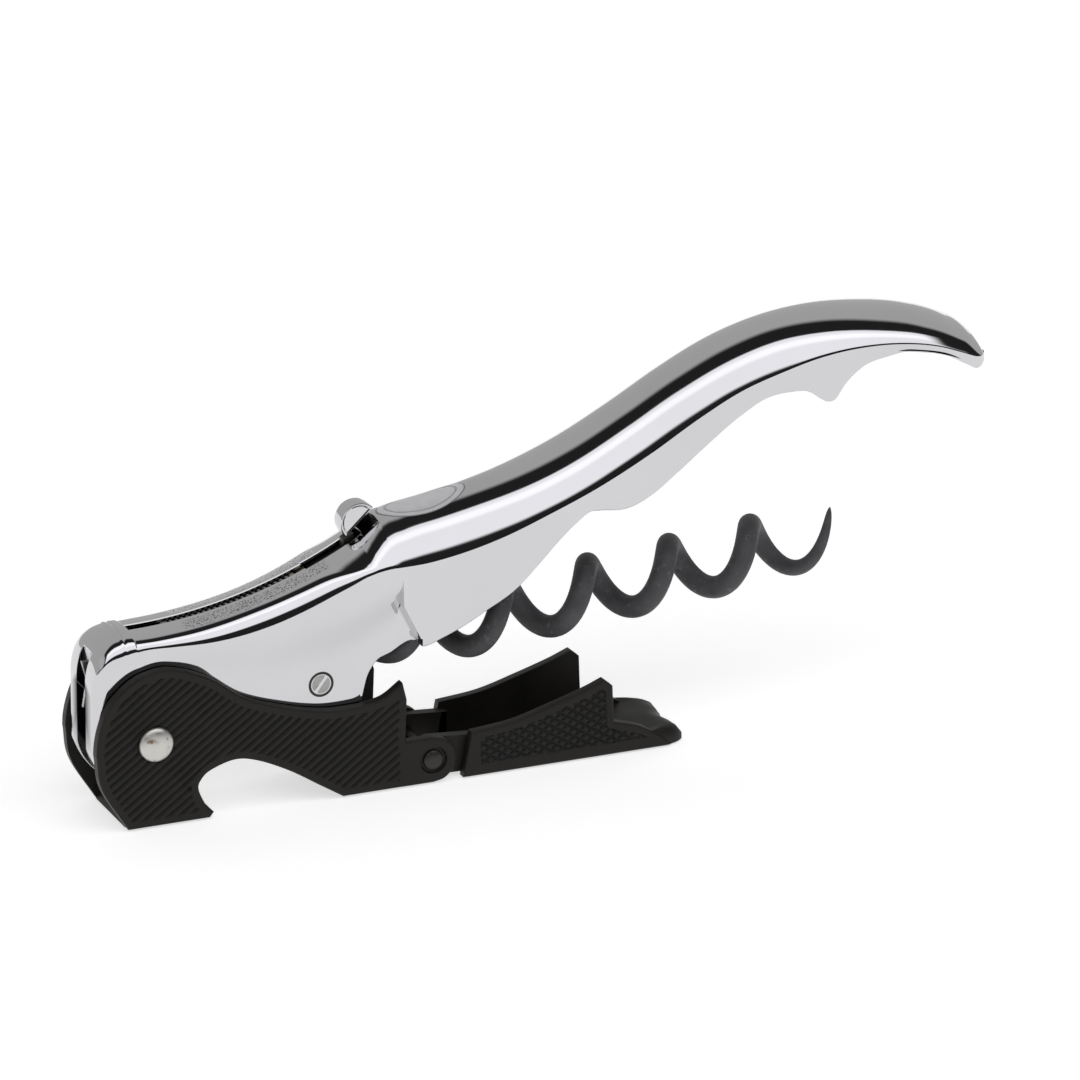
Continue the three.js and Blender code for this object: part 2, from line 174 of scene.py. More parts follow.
def addRange(nodes, links, value, fromLow, fromHigh, toLow, toHigh):
    spread = nodes.new("ShaderNodeMapRange")
    for socket, number in zip(("From Min", "From Max", "To Min", "To Max"),
                              (fromLow, fromHigh, toLow, toHigh)):
        spread.inputs[socket].default_value = number
    links.new(value, spread.inputs["Value"])
    return spread.outputs["Result"]


# Two colours, or colour outputs, mixed by a factor output.
def addMix(nodes, links, factor, first, second):
    mix = nodes.new("ShaderNodeMix")
    mix.data_type = "RGBA"
    links.new(factor, mix.inputs["Factor"])
    for socket, colour in (("A", first), ("B", second)):
        target = [s for s in mix.inputs if s.name == socket and s.type == "RGBA"][0]
        if isinstance(colour, tuple):
            target.default_value = (*colour, 1)
        else:
            links.new(colour, target)
    return [s for s in mix.outputs if s.type == "RGBA"][0]


def addBump(nodes, links, shader, height, strength, distance, before=None):
    bump = nodes.new("ShaderNodeBump")
    bump.inputs["Strength"].default_value = strength
    bump.inputs["Distance"].default_value = distance
    links.new(height, bump.inputs["Height"])
    if before is not None:
        links.new(before, bump.inputs["Normal"])
    links.new(bump.outputs["Normal"], shader.inputs["Normal"])
    return bump.outputs["Normal"]


def readAttribute(nodes, name):
    attribute = nodes.new("ShaderNodeAttribute")
    attribute.attribute_name = name
    return attribute.outputs["Fac"]


# The inside colour, near-black, is painted shade for the slot and the underside channel.
chromeLook = {"bright": (0.62, 0.62, 0.632), "shadedInside": (0.008, 0.008, 0.008), "polish": 0.045, "haze": 0.03,
              "etched": (0.24, 0.24, 0.24), "etchDepth": 0.7, "etchScale": 5200}


# Polished plating: slow waves of the buffing wheel, fine hairlines, faint haze, and a rougher unpolished
# inside whose near-black colour is painted shade.
def chromeMaterial():
    material, nodes, links, shader = newMaterial("polishedChrome")
    shader.inputs["Metallic"].default_value = 1
    shadedInside = readAttribute(nodes, "shadedInside")
    haze = addNoise(nodes, links, 90, 5)
    tone = addMix(nodes, links, addRange(nodes, links, haze, 0.35, 0.7, 0, 1), chromeLook["bright"],
                  (0.6, 0.6, 0.608))
    # Etched flecks: fine noise above a level, only where the top is etched
    flecks = nodes.new("ShaderNodeMath")
    flecks.operation = "MULTIPLY"
    links.new(addRange(nodes, links, addNoise(nodes, links, chromeLook["etchScale"], 1), 0.5, 0.6, 0, 1),
              flecks.inputs[0])
    links.new(readAttribute(nodes, "etched"), flecks.inputs[1])
    tone = addMix(nodes, links, flecks.outputs[0], tone, chromeLook["etched"])
    # Painted shade: the inside of the slot and the underside channel goes near-black.
    links.new(addMix(nodes, links, shadedInside, tone, chromeLook["shadedInside"]), shader.inputs["Base Color"])
    hairs = addNoise(nodes, links, 2600, 2, (0.04, 1, 1))
    rough = nodes.new("ShaderNodeMath")
    rough.operation = "ADD"
    links.new(addRange(nodes, links, haze, 0.3, 0.75, chromeLook["polish"],
                       chromeLook["polish"] + chromeLook["haze"]), rough.inputs[0])
    links.new(addRange(nodes, links, shadedInside, 0, 1, 0, 0.4), rough.inputs[1])
    links.new(rough.outputs[0], shader.inputs["Roughness"])
    first = addBump(nodes, links, shader, addNoise(nodes, links, 130, 1.5), 0.02, 0.0006)
    second = addBump(nodes, links, shader, hairs, 0.012, 0.00002, first)
    addBump(nodes, links, shader, flecks.outputs[0], chromeLook["etchDepth"], 0.00012, second)
    return material


# The near-black groove colour is painted shade in the pressed grooves.
blackLook = {"deep": (0.002, 0.0018, 0.0015), "worn": (0.024, 0.022, 0.018), "gloss": 0.4}


# Black coated steel: a brown-black satin coat, thinner and lighter along edges, with painted shade making
# the grooves near-black.
def blackMaterial():
    material, nodes, links, shader = newMaterial("blackCoatedSteel")
    patches = addNoise(nodes, links, 260, 6)
    edge = readAttribute(nodes, "edge")
    tone = addMix(nodes, links, addRange(nodes, links, patches, 0.3, 0.75, 0, 1), (0.0095, 0.0088, 0.0068),
                  (0.0145, 0.013, 0.01))
    # Painted shade: the grooves go near-black.
    tone = addMix(nodes, links, readAttribute(nodes, "grooveShade"), tone, blackLook["deep"])
    links.new(addMix(nodes, links, edge, tone, blackLook["worn"]), shader.inputs["Base Color"])
    links.new(addRange(nodes, links, patches, 0.3, 0.8, blackLook["gloss"], blackLook["gloss"] + 0.16),
              shader.inputs["Roughness"])
    shader.inputs["Specular IOR Level"].default_value = 0.22
    grain = addBump(nodes, links, shader, addNoise(nodes, links, 5200, 3), 0.12, 0.00003)
    addBump(nodes, links, shader, patches, 0.05, 0.0001, grain)
    return material


wormLook = {"coat": (0.078, 0.078, 0.081), "rubbed": (0.16, 0.16, 0.165), "gloss": 0.52}


# Non-stick coat: matt charcoal with soft mottling and small lighter rubbed specks.
def wormMaterial():
    material, nodes, links, shader = newMaterial("nonstickCoat")
    mottle = addNoise(nodes, links, 420, 6)
    specks = addNoise(nodes, links, 1900, 3)
    tone = addMix(nodes, links, addRange(nodes, links, mottle, 0.3, 0.7, 0, 1), (0.05, 0.05, 0.053),
                  wormLook["coat"])
    links.new(addMix(nodes, links, addRange(nodes, links, specks, 0.6, 0.78, 0, 0.7), tone,
                     wormLook["rubbed"]), shader.inputs["Base Color"])
    links.new(addRange(nodes, links, mottle, 0.3, 0.7, wormLook["gloss"], wormLook["gloss"] + 0.15),
              shader.inputs["Roughness"])
    shader.inputs["Specular IOR Level"].default_value = 0.35
    first = addBump(nodes, links, shader, specks, 0.25, 0.00005)
    addBump(nodes, links, shader, mottle, 0.2, 0.0002, first)
    return material


# Bare metal with turned grain and stains that come where two noises are both high.
def metalMaterial(name, colour, stain, gloss, stainFrom=0.62, grain=0.06):
    material, nodes, links, shader = newMaterial(name)
    shader.inputs["Metallic"].default_value = 0.95
    patches = addNoise(nodes, links, 900, 4)
    links.new(addMix(nodes, links, addRange(nodes, links, patches, stainFrom, stainFrom + 0.14, 0, 1),
                     colour, stain), shader.inputs["Base Color"])
    links.new(addRange(nodes, links, patches, 0.3, 0.8, gloss, gloss + 0.22), shader.inputs["Roughness"])
    addBump(nodes, links, shader, addNoise(nodes, links, 3400, 3), grain, 0.00004)
    return material


chrome = chromeMaterial()
blackSteel = blackMaterial()
nonstick = wormMaterial()
rivetSteel = metalMaterial("wornRivetSteel", (0.6, 0.585, 0.55), (0.2, 0.14, 0.08), 0.3)
pinSteel = metalMaterial("dullPinSteel", (0.36, 0.36, 0.35), (0.16, 0.14, 0.11), 0.26)
darkSteel = metalMaterial("blackenedSteel", (0.05, 0.048, 0.044), (0.02, 0.019, 0.018), 0.32)
bladeSteel = metalMaterial("bladeSteel", (0.42, 0.42, 0.42), (0.3, 0.29, 0.28), 0.22)
springSteel = metalMaterial("springSteel", (0.36, 0.35, 0.33), (0.14, 0.13, 0.12), 0.25)
seatBrass = metalMaterial("paleBrass", (0.62, 0.57, 0.42), (0.4, 0.34, 0.22), 0.3)
print("materials ready")


# Casting: head, neck and handle in one loft of sections across the width

castingShape = {
    "front": -6.7, "tail": 101.0, "step": 0.4,
    "trackX": -1.5, "trackZ": 78.5, "trackRadius": 56.5,
    "rivet": (0.0, 9.9), "headRadius": 6.8, "cheekHalf": 4.2, "cheekTo": 31.75, "shoulderEase": 0.2,
    "neckLean": 14, "handleLean": 66, "leanFrom": 20, "leanTo": 30, "lowerRound": 0.28,
}
crestKeys = [(25, 28.2), (26.2, 29.35), (28.4, 31), (31, 31.6), (35, 32.2), (39, 32.95), (45.2, 34.5),
             (51.3, 36.75), (57.4, 39.8),
             (63.5, 43.15), (69.6, 45.95), (75.6, 47.65), (81.7, 48.25), (87.8, 47.85), (93.5, 46.75),
             (97.8, 45.15),
             (99.8, 43.95), (100.7, 42.9), (101.0, 42.1)]
creaseKeys = [(-3.5, 19.9), (-0.4, 20.5), (2.6, 20.4), (8.7, 20.2), (11.7, 20.45), (14.8, 21.1),
              (17.8, 22.1), (21.5, 23.8),
              (23.3, 24.75), (25.4, 25.9), (27.6, 26.4), (29.7, 26.4), (32.1, 26.4), (35.2, 26.75),
              (41.3, 28.1), (47.3, 30.2),
              (53.4, 32.6), (59.5, 35.6), (65.6, 39.1), (70.5, 41.5), (75.3, 43.0), (80.2, 44.2),
              (85.1, 44.7), (89.9, 44.5),
              (94.8, 43.5), (97.9, 42.3), (99.9, 41.5), (101.0, 41.45)]
widthKeys = [(-6, 4.2), (-1, 4.2), (2, 4.32), (6, 4.6), (14, 4.9), (20, 5.3), (24, 5.8), (28, 6.17),
             (31, 6.18), (60, 6.18), (97.8, 6.18)]
lowerKeys = [(5.6, 4.9), (8, 6.9), (12, 7.6), (20, 8.2), (24, 8.7), (24.9, 9.7), (25.35, 11.6),
             (25.75, 13.1), (26.5, 14.5),
             (28.8, 15.9), (31.2, 16.95), (32, 16.82), (34, 17.4), (35.8, 18.1), (39.4, 19.9), (43.1, 22),
             (46.1, 24.8),
             (48.6, 27.3), (50.4, 28.8), (52.2, 29.95), (53.4, 29.9), (56.5, 29.65), (59.5, 30.8),
             (62.6, 33), (65.6, 35.3),
             (70.5, 38.8), (73.5, 40.35), (76.5, 40.7), (79, 40.3), (80.2, 39.4), (81.1, 38.9), (81.9, 39),
             (83.2, 40.7),
             (85.1, 42.3), (88.7, 43.3), (90.5, 43.5), (92.4, 43.2), (96.2, 42.1), (98.3, 40.9),
             (99.9, 40.2), (100.7, 40.7),
             (101.0, 41.35)]
slotShape = {
    "noseTo": -5.82, "narrowFrom": -1.28, "broadFrom": 19.8, "broadTo": 26.46, "pocketFrom": 26.5,
    "pocketTo": 28.35,
    "noseHalf": 1.35, "narrowHalf": 0.7, "broadHalf": 0.98, "pocketHalf": 1.45,
    "channelHalf": 1.35, "channelDeep": 3.15, "bladeHalf": 0.75, "bladeDeep": 7.4,
}
channelShape = {
    "noseTo": -5.78, "gapTo": -1.4, "rootFrom": 14.6, "middleFrom": 26.6, "wideFrom": 31.7, "wideTo": 88.0,
    "gapHalf": 1.35, "rootHalf": 2.8, "middleHalf": 3.65, "wideHalf": 4.5,
}
etchedShape = {"across": (1.15, 1.3, 2.7, 2.95), "along": (4.6, 5, 21.5, 22)}
recessKeys = [(-8, 18.5), (1.4, 19.1), (4.8, 18.7), (9.2, 17.4), (13.8, 16.8), (18.4, 17.6),
              (24.6, 19.5), (28, 21.2), (29.5, 21.9)]


# Height of the neck's top, an arc on which the knife carrier slides.
def trackTop(x):
    shape = castingShape
    return shape["trackZ"] - np.sqrt(shape["trackRadius"] ** 2 - (x - shape["trackX"]) ** 2)


# Height of the middle of the top: a rounded front, then the arc of the neck, then the crest of the
# handle.
def crownTop(x):
    lift = 0.28 * (1 - smoothStep(-1.62, -1.42, x)) - 0.14 * np.exp(-((x + 2.6) / 0.14) ** 2)
    arc = trackTop(x) + lift
    front = 16.6 + 5.5 * np.sqrt(np.clip(1 - ((-3.0 - x) / 3.71) ** 2, 0, 1))
    neck = np.where(x < -3.0, np.minimum(front, arc), arc)
    return np.where(x < 26.2, np.maximum(neck, np.where(x > 25, smoothCurve(crestKeys, x), 0)),
                    smoothCurve(crestKeys, x))


# Height of the line where the top's curve meets the flat side.
def creaseHeight(x):
    front = 15.2 + 4.7 * np.clip(1 - ((-3.5 - x) / 3.21) ** 2.4, 0, 1) ** (1 / 2.4)
    return np.where(x < -3.5, front, smoothCurve(creaseKeys, x))


# Half the width at the crease, with rounded front and tail ends.
def halfWidth(x):
    wide = smoothCurve(widthKeys, x)
    wide = np.where(x < -5.2, 3.1 + 1.1 * np.sqrt(np.clip(1 - ((-5.2 - x) / 1.51) ** 2, 0, 1)), wide)
    return np.where(x > 98.4, 4.2 + 1.98 * np.sqrt(np.clip(1 - ((x - 98.4) / 2.62) ** 2, 0, 1)), wide)


# The crown is an arc of radius 1 up to an angle, then a tighter arc down to the side. Neck: flat top,
# round shoulder.
def crownArc(x):
    shape = castingShape
    blend = smoothStep(shape["leanFrom"], shape["leanTo"], x)
    angle = np.radians(shape["neckLean"] + (shape["handleLean"] - shape["neckLean"]) * blend)
    tight = shape["shoulderEase"]
    fullWidth = np.sin(angle) + tight * (1 - np.sin(angle))
    fullDrop = 1 - np.cos(angle) + tight * np.cos(angle)
    return angle, tight, fullWidth, fullDrop


# Share of the half width, and share of the height above the crease, where the crown leans by an angle.
def crownPoint(x, turn):
    angle, tight, fullWidth, fullDrop = crownArc(x)
    soft, hard = np.minimum(turn, angle), np.maximum(turn, angle)
    across = np.sin(soft) + tight * (np.sin(hard) - np.sin(angle))
    drop = 1 - np.cos(soft) + tight * (np.cos(angle) - np.cos(hard))
    return across / fullWidth, 1 - drop / fullDrop


# The lean of the crown at a distance from its middle, worked back from crownPoint.
def crownLean(x, y):
    angle, tight, fullWidth = crownArc(x)[:3]
    reach = np.clip(np.abs(y) / halfWidth(x), 0, 1) * fullWidth
    beyond = np.clip(np.sin(angle) + (reach - np.sin(angle)) / tight, 0, 1)
    return np.where(reach < np.sin(angle), np.arcsin(np.clip(reach, 0, 1)), np.arcsin(beyond))


# Height of the top at a point.
def crownSurface(x, y):
    crease = creaseHeight(x)
    return crease + (crownTop(x) - crease) * crownPoint(x, crownLean(x, y))[1]


# Height of the lower edge: the round head, then the cheeks, then the handle's side.
def lowerEdge(x):
    zRivet, radius = castingShape["rivet"][1], castingShape["headRadius"]
    head = zRivet - np.sqrt(np.clip(radius**2 - x**2, 0, None))
    return np.where(x < 5.6, head, smoothCurve(lowerKeys, x))


# One ring of (y, z) for each place along X, from the middle of the top, down one side, to the middle of
# the underside.
def castingSections(x):
    one = np.ones_like(x)
    top, crease, wide, low = crownTop(x), creaseHeight(x), halfWidth(x), lowerEdge(x)

    # Slot along the top: open at the nose of the head, narrow over the spring, wide near the thumb tab,
    # then a square pocket
    slot = slotShape
    inFront = x < slot["noseTo"]
    narrow = (x > slot["narrowFrom"]) & (x < slot["broadFrom"])
    broad = (x >= slot["broadFrom"]) & (x < slot["broadTo"])
    pocket = (x >= slot["pocketFrom"]) & (x < slot["pocketTo"])
    lip = np.where(inFront, slot["noseHalf"], np.where(narrow, slot["narrowHalf"],
                   np.where(pocket, slot["pocketHalf"], slot["broadHalf"])))
    slotOpen = inFront | narrow | broad | pocket
    floor = np.where(inFront, 16.0, np.where(pocket, top - 1.55, top - slot["bladeDeep"]))
    ledge = np.where(inFront, 16.01, np.where(pocket, top - 1.5, top - slot["channelDeep"]))
    roof = np.where(inFront, top - 0.3, np.where(pocket, top - 0.5, top - 0.45))
    deepHalf = np.where(inFront | pocket, lip - 0.02, slot["bladeHalf"])
    channel = np.where(inFront | pocket, lip, slot["channelHalf"])
    lipTop = crownSurface(x, lip + 0.08)
    steps = [
        (0 * one, floor), (deepHalf, floor), (deepHalf, ledge), (channel, ledge), (channel, roof),
        (lip, roof), (lip, lipTop - 0.1), (lip + 0.08, lipTop),
    ]
    spread = np.linspace(0, 1, len(steps))
    ring = []
    for share, (y, z) in zip(spread, steps):
        flatY = share * (lip + 0.08)
        ring.append((np.where(slotOpen, y, flatY), np.where(slotOpen, z, crownSurface(x, flatY))))
    # Weights of the painted shade (and extra roughness) on the slot's walls and floor; the top outside gets
    # none.
    shadedInsideOf = [slotOpen * one] * 5 + [slotOpen * 0.8] + [0 * one] * 2

    # Crown, from the slot's lip to the crease
    startLean, sharpLean = crownLean(x, lip + 0.08), crownArc(x)[0]
    leans = [startLean + (sharpLean - startLean) * share for share in np.linspace(0, 1, 28)[1:]]
    leans += [sharpLean + (np.pi / 2 - sharpLean) * share for share in np.linspace(0, 1, 13)[1:]]
    for lean in leans:
        across, rise = crownPoint(x, lean)
        ring.append((wide * across, crease + (top - crease) * rise))
        shadedInsideOf.append(0 * one)

    # Flat side, soft recess, cheek, rounded lower edge
    stepWall = 21.9 - 2.05 * (x - 29.5)
    recess = np.where(x < 29.5, smoothCurve(recessKeys, x), stepWall)
    recess = np.maximum(recess, low + 0.75)
    recess = np.minimum(recess, crease - 0.9)
    softUp = np.where(x < 29.5, 3.4, 0.2)
    softDown = np.where(x < 29.5, 1.5 + 0.9 * smoothStep(14, 26, x), 0.25)
    cheek = np.where(x < castingShape["cheekTo"], np.minimum(castingShape["cheekHalf"], wide), wide)
    recessTop = np.minimum(recess + softUp, crease - 0.15)
    recessEnd = np.maximum(recess - softDown, low + 0.4)
    for share in np.linspace(0, 1, 5)[1:]:
        ring.append((wide, crease + (recessTop - crease) * share))
        shadedInsideOf.append(0 * one)
    for share in np.linspace(0, 1, 8)[1:]:
        ring.append((wide + (cheek - wide) * smoothStep(0, 1, share),
                     recessTop + (recessEnd - recessTop) * share))
        shadedInsideOf.append(0 * one)
    fillet = castingShape["lowerRound"]
    for share in np.linspace(0, 1, 4)[1:]:
        ring.append((cheek, recessEnd + (low + fillet - recessEnd) * share))
        shadedInsideOf.append(0 * one)
    for turn in np.linspace(0, np.pi / 2, 5)[1:]:
        ring.append((cheek - fillet * (1 - np.cos(turn)), low + fillet * (1 - np.sin(turn))))
        shadedInsideOf.append(0 * one)

    # Underside: open between the cheeks at the front, solid over the rivet, then the worm's channel in
    # three widths
    hole = channelShape
    gap = np.where(x < hole["gapTo"], hole["gapHalf"], np.where(x < hole["middleFrom"], hole["rootHalf"],
                   np.where(x < hole["wideFrom"], hole["middleHalf"], hole["wideHalf"])))
    hollow = (x < hole["gapTo"]) | ((x > hole["rootFrom"]) & (x < hole["wideTo"]))
    rootCeiling = smoothCurve([(14, 16.3), (20, 17.4), (26.7, 19.2)], x)
    middleCeiling = 20.6 + 0.68 * (x - hole["middleFrom"])
    ceiling = np.where(x < hole["middleFrom"], rootCeiling,
                       np.where(x < hole["wideFrom"], middleCeiling, top - 3.2))
    ceiling = np.where(x < hole["noseTo"], 15.9, np.where(x < hole["gapTo"], 19.2, ceiling))
    ceiling = np.maximum(ceiling, low + 0.05)
    under = [(gap + 0.12, low), (gap, low + 0.12)]
    under += [(gap, low + 0.12 + (ceiling - low - 0.12) * share) for share in (0.25, 0.5, 0.75, 1.0)]
    under += [(gap * share, ceiling) for share in (0.75, 0.5, 0.25, 0.0)]
    flat = np.linspace(1, 0, len(under) + 1)[1:]
    outer = cheek - fillet
    # The channel's walls and ceiling get full painted shade, its lower edges a little.
    for index, ((y, z), share) in enumerate(zip(under, flat)):
        ring.append((np.where(hollow, y, outer * share), np.where(hollow, z, low)))
        shadedInsideOf.append(hollow * (1.0 if index > 1 else 0.3))
    half = np.stack([np.stack([np.broadcast_to(y, x.shape), np.broadcast_to(z, x.shape)], axis=-1) for y,
                     z in ring], axis=1)
    shadedInside = np.stack([np.broadcast_to(value, x.shape) for value in shadedInsideOf], axis=1)
    return half, shadedInside


def castingPart():
    shape = castingShape
    turn = np.linspace(0, np.pi / 2, 22)
    front = shape["front"] + 1.6 * (1 - np.cos(turn))
    tail = shape["tail"] - 3.2 * (1 - np.cos(turn[::-1]))
    body = np.arange(front[-1] + 0.25, tail[0], shape["step"])
    stops = [slotShape[key] for key in ("noseTo", "narrowFrom", "broadFrom", "broadTo", "pocketFrom",
                                        "pocketTo")]
    stops += [channelShape[key] for key in ("noseTo", "gapTo", "rootFrom", "middleFrom", "wideFrom",
                                            "wideTo")]
    stops.append(shape["cheekTo"])
    # A wall at each stop
    edges = np.concatenate([[place - 0.01, place + 0.01] for place in stops] + [[-1.45]])
    fine = [np.linspace(24.2, 26.4, 16), np.linspace(29.3, 32.2, 20), np.linspace(-3.0, -1.3, 20),
            np.linspace(79.5, 83.5, 26), np.linspace(50.5, 54, 14)]
    x = np.unique(np.round(np.concatenate([front, body, tail, edges, *fine]), 4))
    x = x[np.concatenate([[True], np.diff(x) > 0.008])]
    half, shadedInside = castingSections(x)
    away = np.abs(half[..., 0])
    along = x[:, None] * np.ones_like(away)
    etched = smoothBand(*etchedShape["across"], away) * smoothBand(*etchedShape["along"], along)
    etched = etched * (half[..., 1] > creaseHeight(x)[:, None] + 0.6)
    left = half * np.array([-1.0, 1.0])
    ring = np.concatenate([left, half[:, -2:0:-1]], axis=1)
    shadedInsideRing = np.concatenate([shadedInside, shadedInside[:, -2:0:-1]], axis=1)
    etchedRing = np.concatenate([etched, etched[:, -2:0:-1]], axis=1)
    rows, columns = ring.shape[:2]
    points = np.concatenate([np.repeat(x[:, None, None], columns, axis=1), ring], axis=-1).reshape(-1, 3)
    caps = endCaps(rows, columns)
    return (points, gridFaces(rows, columns, closeColumns=True),
            caps), shadedInsideRing.ravel(), etchedRing.ravel()


part, shadedInsideValues, etchedValues = castingPart()
makePiece("castingShell", [part], "casting", ["body_casting"], chrome, 32,
          {"shadedInside": shadedInsideValues, "etched": etchedValues})


# Arms: pressed plates ruled between a lower and an upper outline, with pressed grooves

# Lower and upper outlines sampled together. Keys are (lower x, lower z, upper x, upper z, corner); curves
# run smoothly between corners.
def ruledOutline(keys, spacing):
    keys = np.asarray(keys, float)
    corners = [0] + [i for i in range(1, len(keys) - 1) if keys[i, 4]] + [len(keys) - 1]
    lower, upper = [], []
    for first, last in zip(corners[:-1], corners[1:]):
        stretch = keys[first:last + 1, :4]
        place = np.arange(len(stretch), dtype=float)
        reach = np.abs(np.diff(stretch, axis=0))
        length = np.maximum(np.hypot(reach[:, 0], reach[:, 1]), np.hypot(reach[:, 2], reach[:, 3])).sum()
        count = max(3, int(length / spacing))
        where = np.linspace(0, place[-1], count, endpoint=False)
        if len(stretch) == 2:
            curve = stretch[0] + (stretch[1] - stretch[0]) * where[:, None]
        else:
            curve = np.stack([smoothCurve(np.stack([place, stretch[:, i]], axis=1),
                                          where) for i in range(4)], axis=1)
        lower.append(curve[:, :2])
        upper.append(curve[:, 2:])
    lower.append(keys[-1:, :2])
    upper.append(keys[-1:, 2:4])
    return np.concatenate(lower), np.concatenate(upper)


# Shortest distance from each point to a closed outline, taken over its straight pieces.
def edgeDistance(points, outline):
    start, reach = outline, np.roll(outline, -1, axis=0) - outline
    nearest = np.full(len(points), 1e9)
    square = np.maximum((reach**2).sum(axis=1), 1e-12)
    for block in np.array_split(np.arange(len(points)), max(1, len(points) * len(start) // 4_000_000)):
        away = points[block][:, None] - start[None]
        share = np.clip((away * reach).sum(axis=2) / square, 0, 1)
        gap = away - share[..., None] * reach
        nearest[block] = np.sqrt((gap**2).sum(axis=2).min(axis=1))
    return nearest


# A plate: outer face with grooves, inner face, and a rim. The outer face falls away near the outline as a
# quarter round.
def platePart(keys, yInner, yOuter, side, spacing, rows, grooves, edgeRound):
    lower, upper = ruledOutline(keys, spacing)
    outline = np.concatenate([lower, upper[-2:0:-1]])
    share = (1 - np.cos(np.linspace(0, np.pi, rows))) / 2 * 0.35 + np.linspace(0, 1, rows) * 0.65
    flat = lower[:, None] + (upper - lower)[:, None] * share[None, :, None]
    count = len(lower)
    distance = edgeDistance(flat.reshape(-1, 2), outline).reshape(count, rows)
    near = np.clip(1 - distance / edgeRound, 0, 1)
    fall = edgeRound * (1 - np.sqrt(1 - near**2))
    depth, grooveShare = grooves(flat[..., 0], flat[..., 1], distance)
    outerY = side * (yOuter - fall - depth)
    outer = np.stack([flat[..., 0], outerY, flat[..., 1]], axis=-1).reshape(-1, 3)
    back = np.linspace(0, 1, 5)
    flatBack = lower[:, None] + (upper - lower)[:, None] * back[None, :, None]
    inner = np.stack([flatBack[..., 0], np.full(flatBack.shape[:2], side * yInner), flatBack[..., 1]],
                     axis=-1).reshape(-1, 3)
    outerFaces = gridFaces(count, rows)
    innerFaces = gridFaces(count, 5, start=count * rows)
    along = np.arange(count - 1)
    rims = []
    for outerColumn, innerColumn in ((0, 0), (rows - 1, 4)):
        a, b = along * rows + outerColumn, (along + 1) * rows + outerColumn
        c, d = count * rows + (along + 1) * 5 + innerColumn, count * rows + along * 5 + innerColumn
        rims.append(np.stack([a, b, c, d], axis=1))
    edge = np.concatenate([(0.55 * near**2).ravel(), np.full(len(inner), 0.0)])
    # The groove share also weights the painted shade in the grooves.
    grooveShade = np.concatenate([grooveShare.ravel(), np.zeros(len(inner))])
    return (np.concatenate([outer, inner]), np.concatenate([outerFaces, innerFaces, *rims]),
            []), edge, grooveShade


grooveShape = {"pitch": 0.86, "width": 0.42, "depth": 0.16, "lean": 36.0, "border": 0.85}


# Depth share of parallel grooves that lean by an angle: 1 at a groove's middle, 0 on the land between.
def grooveLines(x, z, lean):
    angle = math.radians(lean)
    across = (-np.sin(angle) * x + np.cos(angle) * z) / grooveShape["pitch"]
    away = np.abs(across - np.round(across)) * grooveShape["pitch"]
    return 1 - smoothStep(0.1 * grooveShape["width"], 0.62 * grooveShape["width"], away)


# One set of slanting grooves inside a plain border, with a plain boss round the hinge pin.
def firstGrooves(x, z, distance):
    mask = smoothStep(grooveShape["border"], grooveShape["border"] + 0.16, distance)
    mask *= smoothStep(2.75, 2.95, np.hypot(x - 33.3, z - 2.7)) * (1 - smoothStep(29.1, 29.3, x))
    share = grooveLines(x, z, grooveShape["lean"]) * mask
    sink = 0.35 * (1 - smoothStep(1.5, 1.58, np.hypot(x - 33.3, z - 2.7)))
    return grooveShape["depth"] * share + sink, share


# Two crossing sets of grooves inside a panel with a wide plain lower border and plain ends.
def secondGrooves(x, z, distance):
    mask = smoothStep(0.8, 0.95, distance) * smoothStep(1.35, 1.5, z) * smoothBand(38.9, 39.1, 60.4, 60.8,
                                                                                   x)
    share = np.maximum(grooveLines(x, z, 40), grooveLines(x, z, -32)) * mask
    return grooveShape["depth"] * share, share


firstArmKeys = [
    (-7.0, 9.3, -7.0, 9.3, 0), (-6.35, 5.2, -6.95, 10.3, 0), (-3.3, 0.02, -6.82, 11.2, 1),
    (0.5, 0.02, -6.65, 12.0, 0), (4, 0.02, -6.42, 12.8, 0),
    (6.4, 0.02, -6.18, 13.5, 1), (6.9, 0.6, -5.98, 14.0, 1), (5.9, 1.7, -5.05, 15.5, 0),
    (5.1, 3.6, -3, 17.3, 0), (5.4, 4.7, -1, 18.2, 0),
    (6.6, 5.7, 2, 18.45, 0), (9.5, 6.5, 6.5, 16.7, 0), (12.3, 5.9, 11, 13.55, 0), (16, 4.1, 16, 11.7, 0),
    (19.6, 1.8, 20.5, 10.65, 0),
    (22.4, 0.02, 24.5, 10.55, 1), (26, 0.02, 27.3, 11.1, 0), (29.2, 0.02, 29.6, 12.6, 1),
    (29.5, 0.02, 30.1, 10.5, 1), (29.9, 0.02, 29.9, 5.4, 1),
    (33.3, 0.02, 33.3, 5.4, 1), (34.65, 0.36, 34.65, 5.04, 0), (35.64, 1.35, 35.64, 4.05, 0),
    (35.98, 2.7, 35.98, 2.7, 0)]
secondArmKeys = [
    (36.9, 0.02, 36.9, 0.02, 0), (37.6, 0.02, 37.2, 1.6, 0), (38.3, 0.02, 37.9, 5.3, 1),
    (43, 0.02, 43, 5.8, 0), (47.6, 0.02, 47.6, 7.0, 0),
    (51.6, 0.02, 51.6, 8.2, 0), (54.1, 0.02, 54.1, 9.15, 1), (55.0, 0.02, 55.1, 8.3, 1),
    (55.6, 0.02, 55.25, 3.9, 1), (58.4, 0.02, 58.4, 2.9, 0),
    (60.6, 0.02, 60.6, 1.6, 0), (62.0, 0.02, 62.0, 0.5, 0), (62.3, 0.1, 62.3, 0.1, 0)]


# A closed outline in X-Z carried straight across the width, with its ends closed.
def barPart(section, yLow, yHigh, steps=14):
    section = np.asarray(section, float)
    y = np.linspace(yLow, yHigh, steps)
    points = np.stack([np.repeat(section[None, :, 0], steps, axis=0),
                       np.repeat(y[:, None], len(section), axis=1),
                       np.repeat(section[None, :, 1], steps, axis=0)], axis=-1).reshape(-1, 3)
    count = len(section)
    return points, gridFaces(steps, count, closeColumns=True), endCaps(steps, count)


